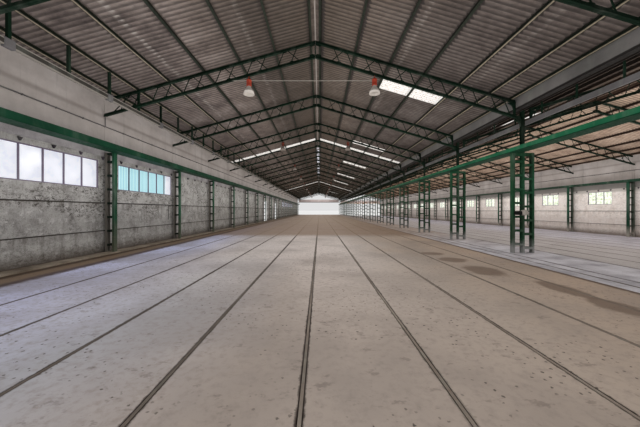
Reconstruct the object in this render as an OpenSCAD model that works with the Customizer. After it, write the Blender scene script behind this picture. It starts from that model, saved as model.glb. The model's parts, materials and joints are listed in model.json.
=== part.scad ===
// Two-nave factory hall as a 1:10 scale model.
// X runs across the naves, Y along the hall and Z up. The origin is below the middle of the hall.
// The main nave is on the left, at negative X, and the side nave, a little lower, on the right.

/* [Hall] */
// Length of one bay, from frame to frame
bay = 500; // [400:10:600]
// Number of bays along the hall
bays = 22; // [14:1:24]
// Distance from the main nave's ridge to the axis of the centre columns
main_half = 769; // [720:1:820]
// Distance from the main nave's ridge to the left wall's inner face
main_reach = 785; // [740:1:830]
// Distance from the side nave's ridge to the axis of the centre columns
side_half = 758; // [720:1:820]
// Distance from the side nave's ridge to the right wall's inner face
side_reach = 753; // [720:1:830]
// Height from a nave's floor to the top of its roof trusses at the ridge
ridge_h = 789; // [740:1:860]
// Fall of a roof slope on a wall's side, for each unit across
wall_slope = 0.278; // [0.26:0.002:0.3]
// Fall of a roof slope on the valley's side
valley_slope = 0.3; // [0.28:0.002:0.32]
// How much lower the side nave's floor and roof are
side_drop = 33; // [12:1:50]
// How far floor, walls and roof reach past the axes of the end frames
end_out = 20; // [14:1:40]

/* [Floor] */
// Thickness of the side nave's floor slab
slab_t = 20; // [14:1:40]
// Distance between two floor rails
rail_pitch = 129; // [110:1:140]
// How far the side nave's rails lie off the middle of the nave
side_rail_shift = 44; // [0:1:60]
// Width of the groove that a floor rail lies in
groove_w = 5; // [4:0.5:8]
// Depth of the groove
groove_d = 4; // [3:0.5:8]
// Width of the steel rail in its groove
rail_w = 3; // [1.5:0.5:4]
// How far the concrete strip below the centre columns reaches into the main nave
strip_left = 142; // [100:1:180]
// How far the strip reaches into the side nave
strip_right = 106; // [60:1:140]
// Distance of the groove in that strip from the column axis
strip_groove_x = 55; // [46:1:80]
// Width of the kerb along the left wall
kerb_w = 48; // [44:1:60]
// Height of that kerb
kerb_h = 5; // [3:1:12]

/* [Walls] */
// Thickness of the concrete wall panels
wall_t = 22; // [16:1:30]
// Height of the lower wall panels above the nave's floor
wall_split = 412; // [400:1:430]
// Gap between the panels of neighbouring bays
panel_joint = 1.2; // [0.8:0.1:2]
// Height of the lower joint between the courses of a panel
course_z = 82; // [60:1:90]
// Height of the upper joint
course_2_z = 184; // [150:1:200]
// Height and depth of a joint's groove
joint_w = 2; // [1:0.5:4]
// Height of the lintel beam's lower edge
lintel_z = 357; // [350:1:370]
// How far the lintel beam stands out from the wall
lintel_out = 4; // [2:0.5:8]

/* [Windows] */
// Height of a window's sill above the nave's floor
window_sill = 238; // [220:1:260]
// Height of a window's head
window_head = 340; // [320:1:350]
// Width of a left window band
left_window_w = 414; // [380:2:420]
// Width of a right window
right_window_w = 200; // [140:2:260]
// Width of a frame bar
frame_w = 3.2; // [2:0.2:6]
// Depth of a frame bar
frame_t = 4; // [3:0.5:10]
// Thickness of the glass
glass_t = 1; // [0.6:0.1:2]
// Width of a doorway in the left wall
door_w = 300; // [200:10:360]
// Height of that doorway
door_h = 300; // [240:10:340]

/* [Columns] */
// Width of one of a column's uprights, seen along the hall
member_w = 7; // [5:0.5:10]
// Depth of an upright, along the hall
member_d = 18; // [12:1:24]
// Thickness of its web and flanges
member_t = 1.2; // [0.8:0.1:2]
// Width of a centre column, over its three uprights
centre_col_w = 78; // [70:1:90]
// Width of a left wall column, over its two uprights
left_col_w = 33; // [28:1:44]
// Width of a right wall column
right_col_w = 42; // [34:1:50]
// Distance from a wall to its columns
col_gap = 9; // [6:0.5:14]
// Height of the battens that join the uprights
batten_h = 8; // [5:0.5:12]
// Distance from one batten to the next
batten_pitch = 51; // [42:1:60]
// Height of the lowest battens' lower edge above the floor
batten_z = 22; // [14:1:40]

/* [Crane girders] */
// Height of the left and centre girders' lower edge above the main floor
girder_z = 370; // [355:1:385]
// Height of the right girder's lower edge above the main floor
right_girder_z = 361; // [350:1:375]
// Width of a girder, over its bottom plate
girder_w = 46; // [38:1:52]
// Height of the left girder
left_girder_h = 22; // [16:1:30]
// Height of the centre and right girders
girder_h = 17; // [14:1:30]
// Thickness of a girder's plates
girder_t = 2; // [1.5:0.5:4]
// How far the bottom plate stands out past the webs
girder_lip = 2; // [1:0.5:4]

/* [Trusses] */
// Height of a truss, from the top of its upper chord to the bottom of its lower chord
truss_h = 65; // [56:1:76]
// Height of a chord
chord_h = 10.5; // [6:0.5:14]
// Width of a chord, along the hall
chord_w = 10; // [6:0.5:14]
// Thickness of the web bars
web_w = 2.2; // [1.6:0.2:4]
// Distance from one set of web bars to the next
web_pitch = 117; // [100:1:130]

/* [Roof] */
// Distance of the first purlin from the ridge
purlin_first = 16; // [12:1:24]
// Distance from one purlin to the next, across the nave, on the valley's side
purlin_pitch = 131; // [120:1:140]
// The same distance on a wall's side
wall_purlin_pitch = 133; // [120:1:140]
// Height of a purlin
purlin_h = 10; // [7:0.5:14]
// Width of a purlin
purlin_w = 7; // [4:0.5:9]
// Overall thickness of a corrugated roof sheet
sheet_t = 5.1; // [4:0.1:7]
// How far the roof reaches past the outer face of a wall
eave_out = 30; // [20:1:45]
// Width of one translucent sheet along the hall
light_w = 92; // [70:1:110]
// Gap between the two slopes' sheets at the ridge
ridge_gap = 28; // [16:1:30]
// Width of the ridge cap on each slope
ridge_cap_w = 34; // [24:1:44]
// Thickness of the ridge cap
ridge_cap_t = 1.5; // [1:0.1:3]
// Width of the valley gutter
gutter_w = 19; // [16:1:30]

/* [Hidden] */

eps = 0.01;
// How far a cutting shape overruns the surface it cuts
over = 1;
// Clearance between pieces that nearly touch
fit = 0.3;
hall_l = bays * bay;
full_l = hall_l + 2 * end_out;
main_z = slab_t + side_drop;
side_z = slab_t;
left_w = main_half + main_reach;
right_w = side_half + side_reach;
// The valley stands off the middle of the hall, because the main nave is a little wider
valley_x = (left_w - right_w) / 2;

// Half trusses end short of the centre columns' axis and of the walls
main_valley_gap = 26;
side_valley_gap = 29;
main_wall_gap = 32;
side_wall_gap = 15;
main_valley_end = main_half - main_valley_gap;
side_valley_end = side_half - side_valley_gap;
main_wall_end = main_reach - main_wall_gap;
side_wall_end = side_reach - side_wall_gap;

// Height of the trusses' upper edge above the nave's floor, x away from the ridge
function chord_z(x, slope) = ridge_h - slope * x;
// Distance down a slope from the ridge to a point that lies x away from it
function along(x, slope) = x / cos(atan(slope));
// Height of the roof sheets' underside above the chords
function purlin_rise(slope) = purlin_h / cos(atan(slope));
// Purlins lie at an even pitch, but for the last two, which keep their distance from the truss's end
even_purlins = 5;
last_purlin = even_purlins + 1;
last_purlin_gap = 14;
outer_purlin_gap = 89;
function purlin_x(i, end, slope) = i == last_purlin ? end - last_purlin_gap
    : i == even_purlins ? end - outer_purlin_gap
    : purlin_first + i * (slope == wall_slope ? wall_purlin_pitch : purlin_pitch);

steel_green = [0.12, 0.27, 0.19];
girder_green = [0.17, 0.42, 0.3];
concrete = [0.62, 0.6, 0.57];
floor_grey = [0.7, 0.66, 0.62];
plaster = [0.68, 0.64, 0.62];
rail_brown = [0.3, 0.26, 0.23];
purlin_grey = [0.3, 0.33, 0.28];
roof_grey = [0.44, 0.4, 0.37];
light_white = [0.93, 0.95, 0.95];
glass_blue = [0.7, 0.85, 0.9, 0.4];
gable_red = [0.33, 0.2, 0.18];
gable_ochre = [0.75, 0.48, 0.2];
fascia_pink = [0.85, 0.78, 0.77];

// Places along the hall: frame 0 stands at the near end
function frame_y(i) = -hall_l / 2 + i * bay;
module each_frame() for (i = [0 : bays]) translate([0, frame_y(i), 0]) children();
module both_ends() for (m = [0, 1]) mirror([0, m, 0]) translate([0, hall_l / 2, 0]) children();

// Draws a shape of the XZ plane with thickness t along Y, centred on y = 0
module upright(t) rotate([90, 0, 0]) linear_extrude(t, center = true) children();
// Draws a section of the XZ plane along the whole hall
module full_length() upright(full_l) children();

module at_valley(z) translate([valley_x, 0, z]) children();
module at_main() translate([valley_x - main_half, 0, main_z]) children();
module at_side() translate([valley_x + side_half, 0, side_z]) children();
// Places a shape whose x is 0 at the wall's inner face and grows into the nave
module at_left_wall() translate([valley_x - left_w, 0, 0]) children();
module at_right_wall() translate([valley_x + right_w, 0, 0]) mirror([1, 0, 0]) children();
module left_hand() mirror([1, 0, 0]) children();
// Turns a shape that is drawn from the ridge down a right-hand slope
module on_slope(slope) translate([0, 0, ridge_h]) rotate([0, atan(slope), 0]) children();

// Floors with their rails
rails_each_side = 4;
rail_list = [for (i = [-rails_each_side : rails_each_side]) i * rail_pitch];
module groove_cut(x, w, d) translate([x - w / 2, -full_l / 2 - over, -d])
    cube([w, full_l + 2 * over, d + over]);
module groove_cuts() for (x = rail_list) groove_cut(x, groove_w, groove_d);
module rails() for (x = rail_list)
    translate([x - rail_w / 2, -full_l / 2, -groove_d]) cube([rail_w, full_l, groove_d]);

module main_floor() color(floor_grey) difference() {
    translate([valley_x - left_w, -full_l / 2, 0]) cube([left_w - strip_left, full_l, main_z]);
    at_main() groove_cuts();
}
module side_floor() color(floor_grey) difference() {
    translate([valley_x + strip_right, -full_l / 2, 0]) cube([right_w - strip_right, full_l, side_z]);
    at_side() translate([side_rail_shift, 0, 0]) groove_cuts();
}
module centre_strip() color(concrete) difference() {
    at_valley(0) translate([-strip_left, -full_l / 2, 0]) cube([strip_left + strip_right, full_l, main_z]);
    at_valley(main_z) groove_cut(-strip_groove_x, groove_w, groove_d);
}
module main_rails() color(rail_brown) at_main() rails();
module side_rails() color(rail_brown) at_side() translate([side_rail_shift, 0, 0]) rails();

// Walls: one panel a bay, with its window or doorway cut through.
// Each left window is given by its bay and by how far it lies off the middle of the bay.
left_windows = [[1, 20], [2, 14], [3, 30], [13, 20], [14, 20], [15, 20], [16, 20], [17, 20]];
right_windows = [for (i = [0 : bays - 1]) [i, 10]];
left_door_bays = [9, 11];
function bay_middle(i) = frame_y(i) + bay / 2;
// Ends of the wall panel in a bay: the end bays' panels reach to the end of the floor
function panel_y0(i) = i == 0 ? -full_l / 2 : frame_y(i) + panel_joint / 2;
function panel_y1(i) = i == bays - 1 ? full_l / 2 : frame_y(i + 1) - panel_joint / 2;
module panel(i, z0, z1)
    translate([-wall_t, panel_y0(i), z0]) cube([wall_t, panel_y1(i) - panel_y0(i), z1 - z0]);
module joint_cut(z) translate([-joint_w, -full_l / 2 - over, z])
    cube([joint_w + over, full_l + 2 * over, joint_w]);
module hole(y, w, z0, z1) translate([-wall_t - over, y - w / 2, z0]) cube([wall_t + 2 * over, w, z1 - z0]);
module window_holes(i, list, w, floor_z) for (v = list)
    if (v[0] == i) hole(bay_middle(i) + v[1], w, floor_z + window_sill, floor_z + window_head);
module door_hole(i) for (d = left_door_bays) if (d == i) hole(bay_middle(i), door_w, main_z, main_z + door_h);

module left_wall_panels() color(concrete) at_left_wall() for (i = [0 : bays - 1]) difference() {
    panel(i, 0, main_z + wall_split);
    joint_cut(main_z + course_z);
    joint_cut(main_z + course_2_z);
    window_holes(i, left_windows, left_window_w, main_z);
    door_hole(i);
}
module right_wall_panels() color(concrete) at_right_wall() for (i = [0 : bays - 1]) difference() {
    panel(i, 0, side_z + wall_split);
    joint_cut(side_z + course_z);
    joint_cut(side_z + course_2_z);
    window_holes(i, right_windows, right_window_w, side_z);
}
// The upper wall's top follows the roof, which starts the distance reach away
module upper_wall(reach) for (i = [0 : bays - 1]) translate([0, (panel_y0(i) + panel_y1(i)) / 2, 0])
    upright(panel_y1(i) - panel_y0(i)) polygon([[0, wall_split], [0, wall_top(reach)],
        [-wall_t, wall_top(reach + wall_t)], [-wall_t, wall_split]]);
function wall_top(x) = chord_z(x, wall_slope) + purlin_rise(wall_slope) - fit;
module left_upper_wall() color(plaster) at_left_wall() translate([0, 0, main_z]) upper_wall(main_reach);
module right_upper_wall() color(plaster) at_right_wall() translate([0, 0, side_z]) upper_wall(side_reach);
module lintel() translate([0, -full_l / 2, lintel_z]) cube([lintel_out, full_l, wall_split - lintel_z]);
module wall_lintels() color(concrete) {
    at_left_wall() translate([0, 0, main_z]) lintel();
    at_right_wall() translate([0, 0, side_z]) lintel();
}
module left_kerb() color(concrete) at_left_wall() translate([0, -full_l / 2, main_z]) difference() {
    cube([kerb_w, full_l, kerb_h]);
    for (i = left_door_bays) translate([-over, full_l / 2 + bay_middle(i) - door_w / 2, -over])
        cube([kerb_w + 2 * over, door_w, kerb_h + 2 * over]);
}

// Windows
left_panes = 6;
right_panes = 3;
window_h = window_head - window_sill;
function pane_step(w, panes) = (w - frame_w) / panes;
module pane(w, panes, i) translate([-w / 2 + frame_w + i * pane_step(w, panes), frame_w])
    square([pane_step(w, panes) - frame_w, window_h - 2 * frame_w]);
window_set_back = 3;
// Draws a shape of the YZ plane with thickness t, set back a little from the wall's inner face
module in_wall(t) translate([-window_set_back, 0, 0]) rotate([90, 0, 90])
    linear_extrude(t, center = true) children();
module window_frame(w, panes) in_wall(frame_t) difference() {
    translate([-w / 2, 0]) square([w, window_h]);
    for (i = [0 : panes - 1]) pane(w, panes, i);
}
// One sheet closes a window from outside its bars
module window_glass(w) translate([-(frame_t + glass_t) / 2, 0, 0]) in_wall(glass_t)
    translate([fit - w / 2, fit]) square([w - 2 * fit, window_h - 2 * fit]);
module at_windows(list, floor_z) for (v = list)
    translate([0, bay_middle(v[0]) + v[1], floor_z + window_sill]) children();
module left_window_frames() color("whitesmoke")
    at_left_wall() at_windows(left_windows, main_z) window_frame(left_window_w, left_panes);
module left_window_glass() color(glass_blue)
    at_left_wall() at_windows(left_windows, main_z) window_glass(left_window_w);
module right_window_frames() color("whitesmoke")
    at_right_wall() at_windows(right_windows, side_z) window_frame(right_window_w, right_panes);
module right_window_glass() color(glass_blue)
    at_right_wall() at_windows(right_windows, side_z) window_glass(right_window_w);

// Columns: upright webs between two plates, each cut out as a ladder of flanges and battens
module flanges(x_list, h) for (x = x_list) translate([x, 0]) square([member_w, h]);
module battens(x0, x1, z0, h) for (z = [z0 : batten_pitch : h - 2 * batten_h]) translate([x0, z])
    square([x1 - x0, batten_h]);
module both_plates() for (s = [-1, 1]) translate([0, s * (member_d - member_t) / 2, 0])
    upright(member_t) children();
module web(x, h) translate([x, member_t - member_d / 2 - eps, 0])
    cube([member_t, member_d - 2 * member_t + 2 * eps, h]);

// A wall column, drawn from the wall's inner face
module wall_column(w, h) translate([col_gap, 0, 0]) union() {
    both_plates() {
        flanges([0, w - member_w], h);
        battens(1, w - 1, batten_z, h);
        translate([0, h - batten_h]) square([w, batten_h]);
    }
    web(eps, h);
    web(w - member_t - eps, h);
    translate([0, eps - member_d / 2, h - member_t]) cube([w, member_d - 2 * eps, member_t]);
}
module left_columns() color(steel_green) at_left_wall() each_frame()
    translate([0, 0, main_z + kerb_h]) wall_column(left_col_w, girder_z - kerb_h);
module right_columns() color(steel_green) at_right_wall() each_frame()
    translate([0, 0, side_z]) wall_column(right_col_w, right_girder_z + side_drop);

// The centre columns' middle upright runs on up to the purlin over the valley
head_h = 11;
valley_top_z = chord_z(side_half + member_w / 2, valley_slope) - side_drop;
module centre_columns() color(steel_green) each_frame() at_valley(main_z) union() {
    both_plates() {
        flanges([-centre_col_w / 2, centre_col_w / 2 - member_w], girder_z);
        flanges([-member_w / 2], valley_top_z);
        battens(1 - centre_col_w / 2, 0, batten_z + 6, girder_z);
        battens(0, centre_col_w / 2 - 1, batten_z - 7, girder_z);
        translate([-centre_col_w / 2, girder_z - head_h]) square([centre_col_w, head_h]);
    }
    web(eps - centre_col_w / 2, girder_z);
    web(centre_col_w / 2 - member_t - eps, girder_z);
    web(-member_t / 2, valley_top_z);
}

// Crane girders: closed boxes on a wider bottom plate, along the whole hall.
// Each is drawn from the edge that faces its nave.
module girder_section(h) {
    square([girder_w, girder_t]);
    translate([girder_lip, 0]) difference() {
        square([girder_w - 2 * girder_lip, h]);
        translate([girder_t, girder_t])
            square([girder_w - 2 * girder_lip - 2 * girder_t, h - 2 * girder_t]);
    }
}
left_girder_x = 80 - girder_w;
centre_girder_x = -54;
right_girder_x = 70 - girder_w;
module left_crane_girder() color(girder_green) at_left_wall()
    translate([left_girder_x, 0, main_z + girder_z]) full_length() girder_section(left_girder_h);
module centre_crane_girder() color(girder_green) at_valley(main_z + girder_z)
    translate([centre_girder_x, 0, 0]) full_length() girder_section(girder_h);
module right_crane_girder() color(steel_green) at_right_wall()
    translate([right_girder_x, 0, main_z + right_girder_z]) full_length() girder_section(girder_h);

// Roof trusses: half a truss is a pair of parallel chords, from the ridge down to the right.
// Its lower chord runs on to tip, and its web repeats a steep bar and a rising one.
ridge_half = 0.4;
post_w = 6;
web_sets = 6;
module band(x0, x1, d0, d1, slope) polygon([[x0, chord_z(x0, slope) - d0], [x1, chord_z(x1, slope) - d0],
    [x1, chord_z(x1, slope) - d1], [x0, chord_z(x0, slope) - d1]]);
module bar(x_top, x_low, slope) {
    top_z = chord_z(x_top, slope) - chord_h / 2;
    low_z = chord_z(x_low, slope) - truss_h + chord_h / 2;
    side = web_w / 2 / cos(atan((x_low - x_top) / (top_z - low_z)));
    polygon([[x_top - side, top_z], [x_top + side, top_z], [x_low + side, low_z], [x_low - side, low_z]]);
}
module half_truss(end, tip, slope) {
    band(ridge_half, end, 0, chord_h, slope);
    band(ridge_half, tip, truss_h - chord_h, truss_h, slope);
    band(ridge_half, post_w / 2, chord_h / 2, truss_h - chord_h / 2, slope);
    for (i = [1 : web_sets]) {
        bar(i * web_pitch - 3, i * web_pitch + 23, slope);
        bar(i * web_pitch - 7, i * web_pitch - 58, slope);
    }
}
// At a wall the upper chord ends in a thin bar down to the lower one
module wall_truss(end, tip) upright(chord_w) {
    half_truss(end, tip, wall_slope);
    bar(end - 75, end + 3, wall_slope);
}
// At the valley it ends in a post
module valley_truss(end, tip) upright(chord_w) {
    half_truss(end, tip, valley_slope);
    band(end - post_w, end, chord_h / 2, truss_h - chord_h / 2, valley_slope);
}
module main_trusses_left() color(steel_green) at_main() each_frame()
    left_hand() wall_truss(main_wall_end, main_reach);
module main_trusses_right() color(steel_green) at_main() each_frame()
    valley_truss(main_valley_end, main_half - member_w / 2);
module side_trusses_left() color(steel_green) at_side() each_frame()
    left_hand() valley_truss(side_valley_end, side_half - member_w / 2);
module side_trusses_right() color(steel_green) at_side() each_frame()
    wall_truss(side_wall_end, side_reach);

// Purlins: on the trusses, along the whole hall
module purlin(x, slope) on_slope(slope) translate([along(x, slope) - purlin_w / 2, -full_l / 2, 0])
    cube([purlin_w, full_l, purlin_h]);
module slope_purlins(end, slope) for (i = [0 : last_purlin])
    purlin(purlin_x(i, end, slope), slope);
module main_purlins_left() color(purlin_grey) at_main() left_hand() slope_purlins(main_wall_end, wall_slope);
module main_purlins_right() color(purlin_grey) at_main() slope_purlins(main_valley_end, valley_slope);
module side_purlins_left() color(purlin_grey) at_side() left_hand() {
    slope_purlins(side_valley_end, valley_slope);
    purlin(side_half, valley_slope);
}
module side_purlins_right() color(purlin_grey) at_side() slope_purlins(side_wall_end, wall_slope);

// Roof sheets, with holes that the translucent sheets fill.
// Each roof light: bay, place in the bay, first purlin and number of purlin spaces.
main_right_lights = [[3, 0.4, 2, 2], [5, 0.53, 2, 2], [6, 0.04, 0, 6], [7, 0.41, 2, 2], [9, 0.53, 2, 2],
    [11, 0.59, 2, 2], [13, 0.7, 0, 6], [15, 0.5, 2, 2], [17, 0.6, 2, 2], [19, 0.5, 2, 2]];
main_left_lights = [[6, 0.04, 0, 6], [13, 0.7, 0, 6]];
side_left_lights = [for (i = [3 : 4 : bays - 1]) [i, 0.78, 3, 2]];
wall_over = wall_t + eave_out;
main_valley_run = main_valley_end + 8;
side_valley_run = side_half + 18;
module light_shapes(lights, end, slope, grow) for (v = lights) {
    u0 = along(purlin_x(v[2], end, slope), slope) + (v[2] == 0 ? purlin_w : 0);
    u1 = along(purlin_x(v[2] + v[3], end, slope), slope);
    translate([u0, frame_y(v[0]) + v[1] * bay - light_w / 2, purlin_h - grow])
        cube([u1 - u0, light_w, sheet_t + 2 * grow]);
}
module slope_sheet(run, lights, end, slope) on_slope(slope) difference() {
    translate([ridge_gap / 2, -full_l / 2, purlin_h]) cube([along(run, slope) - ridge_gap / 2, full_l, sheet_t]);
    light_shapes(lights, end, slope, over);
}
module main_roof_left() color(roof_grey) at_main() left_hand()
    slope_sheet(main_reach + wall_over, main_left_lights, main_wall_end, wall_slope);
module main_roof_right() color(roof_grey) at_main()
    slope_sheet(main_valley_run, main_right_lights, main_valley_end, valley_slope);
module side_roof_left() color(roof_grey) at_side() left_hand()
    slope_sheet(side_valley_run, side_left_lights, side_valley_end, valley_slope);
module side_roof_right() color(roof_grey) at_side()
    slope_sheet(side_reach + wall_over, [], side_wall_end, wall_slope);
module main_roof_lights() color(light_white) at_main() {
    on_slope(valley_slope) light_shapes(main_right_lights, main_valley_end, valley_slope, 0);
    left_hand() on_slope(wall_slope) light_shapes(main_left_lights, main_wall_end, wall_slope, 0);
}
module side_roof_lights() color(light_white) at_side() left_hand()
    on_slope(valley_slope) light_shapes(side_left_lights, side_valley_end, valley_slope, 0);

// Ridge caps, drawn with the wall's slope on the left
sheet_rise = (purlin_h + sheet_t) / cos(atan(valley_slope));
module ridge_cap() full_length() {
    cap_z = ridge_h + sheet_rise;
    low_left = cap_z - wall_slope * ridge_cap_w;
    low_right = cap_z - valley_slope * ridge_cap_w;
    polygon([[0, cap_z], [ridge_cap_w, low_right], [ridge_cap_w, low_right + ridge_cap_t],
        [0, cap_z + ridge_cap_t], [-ridge_cap_w, low_left + ridge_cap_t], [-ridge_cap_w, low_left]]);
}
module main_ridge_cap() color(light_white) at_main() ridge_cap();
module side_ridge_cap() color(light_white) at_side() left_hand() ridge_cap();

// Valley gutter: its tall side closes the step between the two roofs, and the side nave's sheets end over it
gutter_t = 2;
gutter_x0 = main_valley_end - main_half + eps;
gutter_lip = 4;
gutter_clear = 3;
gutter_z = side_underside(gutter_x0 + gutter_w) - gutter_lip - gutter_clear;
gutter_top = chord_z(main_half + gutter_x0, valley_slope) + purlin_rise(valley_slope) - 2 * fit;
module valley_gutter() color([0.55, 0.54, 0.52]) at_valley(main_z) full_length() polygon([
    [gutter_x0, gutter_z], [gutter_x0 + gutter_w, gutter_z], [gutter_x0 + gutter_w, gutter_z + gutter_lip],
    [gutter_x0 + gutter_w - gutter_t, gutter_z + gutter_lip], [gutter_x0 + gutter_w - gutter_t, gutter_z + gutter_t],
    [gutter_x0 + gutter_t, gutter_z + gutter_t], [gutter_x0 + gutter_t, gutter_top - gutter_t * valley_slope],
    [gutter_x0, gutter_top]]);

// Beams along the hall that hang by short posts: one in the valley, and one along the left wall
valley_beam_x = member_w / 2 + fit;
valley_beam_drop = 40.6;
valley_beam_h = 15.5;
valley_beam_w = 6;
valley_post_w = 4;
valley_post_pitch = 133.4;
first_valley_post = 78;
valley_post_x = valley_beam_x + valley_post_w / 2;
hanging_beam_w = 8;
hanging_beam_h = 15;
hanging_drop = 9;
hanging_post_w = 7;
hanging_post_pitch = 151.4;
first_hanging_post = 148;
hanging_x = purlin_x(even_purlins, main_wall_end, wall_slope);
// Underside of the side nave's sheets above the main floor, at x from the column axis
function side_underside(x) = chord_z(side_half - x, valley_slope) + purlin_rise(valley_slope) - side_drop;
valley_beam_z = valley_top_z - valley_beam_drop - valley_beam_h;
hanging_beam_z = chord_z(hanging_x + hanging_beam_w / 2, wall_slope) - truss_h - hanging_drop - hanging_beam_h;
module long_beam(w, h) translate([-w / 2, -full_l / 2, 0]) cube([w, full_l, h]);
module valley_beam() color([0.5, 0.49, 0.48])
    at_valley(main_z + valley_beam_z) translate([valley_beam_x + valley_beam_w / 2, 0, 0])
        long_beam(valley_beam_w, valley_beam_h);
module hanging_beam() color([0.6, 0.58, 0.55])
    at_main() left_hand() translate([hanging_x, 0, hanging_beam_z]) long_beam(hanging_beam_w, hanging_beam_h);
// Posts stand at an even pitch from the near end frame, but keep clear of the trusses
module posts(first, pitch, w, z0, z1) for (i = [0 : floor((hall_l - first) / pitch)]) {
    y = first + i * pitch;
    off = y - round(y / bay) * bay;
    clear = (chord_w + w) / 2 + 1;
    translate([-w / 2, frame_y(0) + (abs(off) < clear ? y - off + clear : y) - w / 2, z0]) cube([w, w, z1 - z0]);
}
module beam_posts() color(steel_green) {
    at_main() left_hand() translate([hanging_x, 0, 0])
        posts(first_hanging_post, hanging_post_pitch, hanging_post_w, hanging_beam_z + hanging_beam_h,
            chord_z(hanging_x + hanging_post_w / 2, wall_slope));
    at_valley(main_z) translate([valley_post_x, 0, 0])
        posts(first_valley_post, valley_post_pitch, valley_post_w, valley_beam_z + valley_beam_h,
            side_underside(valley_post_x - valley_post_w / 2));
}

// Open gables: a beam across the nave and a fascia band on its outer part.
// They are drawn from the wall's inner face for a nave of width w.
gable_beam_z = 444;
gable_beam_h = 16;
gable_beam_w = 18;
fascia_h = 90;
fascia_t = 3;
module gable_beam(w) both_ends() translate([fit, -gable_beam_w / 2, gable_beam_z])
    cube([w - member_w / 2 - 2 * fit, gable_beam_w, gable_beam_h]);
module gable_fascia(w) both_ends() translate([45, gable_beam_w / 2 - fascia_t, gable_beam_z + gable_beam_h])
    cube([w - 90, fascia_t, fascia_h]);
module main_gable_beams() color(gable_red) at_left_wall() translate([0, 0, main_z]) gable_beam(left_w);
module main_gable_fascias() color(fascia_pink) at_left_wall() translate([0, 0, main_z]) gable_fascia(left_w);
module side_gable_beams() color(gable_ochre) at_right_wall() translate([0, 0, side_z]) gable_beam(right_w);
module side_gable_fascias() color(fascia_pink) at_right_wall() translate([0, 0, side_z]) gable_fascia(right_w);

// Pendant lamps, two at every second frame of the main nave: a bell below a round gear housing
lamp_left_x = 247;
lamp_right_x = 220;
bell_r = 21;
bell_h = 34;
neck_r = 6;
housing_r = 9.5;
housing_z = bell_h + 5;
housing_h = 26;
hook_r = 1;
hook_h = 8;
lamp_h = housing_z + housing_h + hook_h;
lamp_profile = [[0, bell_h - 3], [neck_r, bell_h - 3], [bell_r * 0.75, bell_h * 0.55], [bell_r - 1.5, 0],
    [bell_r, 0], [bell_r * 0.82, bell_h * 0.6], [neck_r + 3, bell_h], [neck_r, bell_h], [neck_r, housing_z],
    [housing_r, housing_z], [housing_r, housing_z + housing_h - 6], [housing_r - 4, housing_z + housing_h],
    [hook_r, housing_z + housing_h], [hook_r, lamp_h], [0, lamp_h]];
module lamp(x, slope) translate([x, 0, chord_z(x + hook_r, slope) - truss_h - lamp_h])
    rotate_extrude($fn = 48) polygon(lamp_profile);
module lamps() color([0.75, 0.32, 0.25]) at_main() for (i = [1 : 2 : bays - 1]) translate([0, frame_y(i), 0]) {
    left_hand() lamp(lamp_left_x, wall_slope);
    lamp(lamp_right_x, valley_slope);
}

main_floor();
side_floor();
centre_strip();
main_rails();
side_rails();
left_kerb();
left_wall_panels();
left_upper_wall();
right_wall_panels();
right_upper_wall();
wall_lintels();
left_window_frames();
left_window_glass();
right_window_frames();
right_window_glass();
left_columns();
centre_columns();
right_columns();
left_crane_girder();
centre_crane_girder();
right_crane_girder();
main_trusses_left();
main_trusses_right();
side_trusses_left();
side_trusses_right();
main_purlins_left();
main_purlins_right();
side_purlins_left();
side_purlins_right();
main_roof_left();
main_roof_right();
side_roof_left();
side_roof_right();
main_roof_lights();
side_roof_lights();
main_ridge_cap();
side_ridge_cap();
valley_gutter();
valley_beam();
hanging_beam();
beam_posts();
main_gable_beams();
main_gable_fascias();
side_gable_beams();
side_gable_fascias();
lamps();
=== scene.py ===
import json
import math

import bpy
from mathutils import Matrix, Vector

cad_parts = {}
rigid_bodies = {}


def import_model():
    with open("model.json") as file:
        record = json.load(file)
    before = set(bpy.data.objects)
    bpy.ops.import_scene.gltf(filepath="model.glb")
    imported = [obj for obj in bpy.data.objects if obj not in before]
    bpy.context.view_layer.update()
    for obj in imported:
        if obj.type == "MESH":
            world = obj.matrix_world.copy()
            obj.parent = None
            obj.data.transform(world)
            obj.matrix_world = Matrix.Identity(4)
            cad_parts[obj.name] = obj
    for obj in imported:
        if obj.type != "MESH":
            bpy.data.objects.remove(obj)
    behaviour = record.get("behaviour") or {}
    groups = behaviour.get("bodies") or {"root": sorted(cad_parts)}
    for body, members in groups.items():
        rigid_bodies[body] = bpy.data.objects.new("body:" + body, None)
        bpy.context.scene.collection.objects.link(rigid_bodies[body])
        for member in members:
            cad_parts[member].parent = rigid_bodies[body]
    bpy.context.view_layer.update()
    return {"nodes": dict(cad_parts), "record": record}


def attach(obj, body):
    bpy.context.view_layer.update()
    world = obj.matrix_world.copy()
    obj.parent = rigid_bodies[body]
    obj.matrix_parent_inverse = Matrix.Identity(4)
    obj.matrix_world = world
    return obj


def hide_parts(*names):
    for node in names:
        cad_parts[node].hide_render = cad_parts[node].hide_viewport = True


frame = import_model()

nodes = frame["nodes"]

# Sizes of the hall, in metres of the 1:10 model, as the CAD frame has them
BAY = 0.5
BAYS = 22
LENGTH = 11.04
VALLEY_X = 0.0215
MAIN_Z = 0.053
SIDE_Z = 0.020
RIDGE_H = 0.789
MAIN_X = VALLEY_X - 0.769
SIDE_X = VALLEY_X + 0.758
LEFT_WALL = MAIN_X - 0.785
RIGHT_WALL = SIDE_X + 0.753
RAIL_PITCH = 0.129
TRUSS_H = 0.065
CHORD_H = 0.0105
PURLIN_H = 0.010
PURLIN_W = 0.007
FIRST_PURLIN = 0.016
EAVES_PURLINS = (0.089, 0.014)
SHEET_T = 0.0006
WAVES = 624
WAVE = (LENGTH - SHEET_T) / WAVES
WAVE_H = 0.0051
# A roof sheet, plain or translucent, is about one purlin space long and five waves wide
SHEET_ROW = 0.132
SHEET_WAVES = 5


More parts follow.
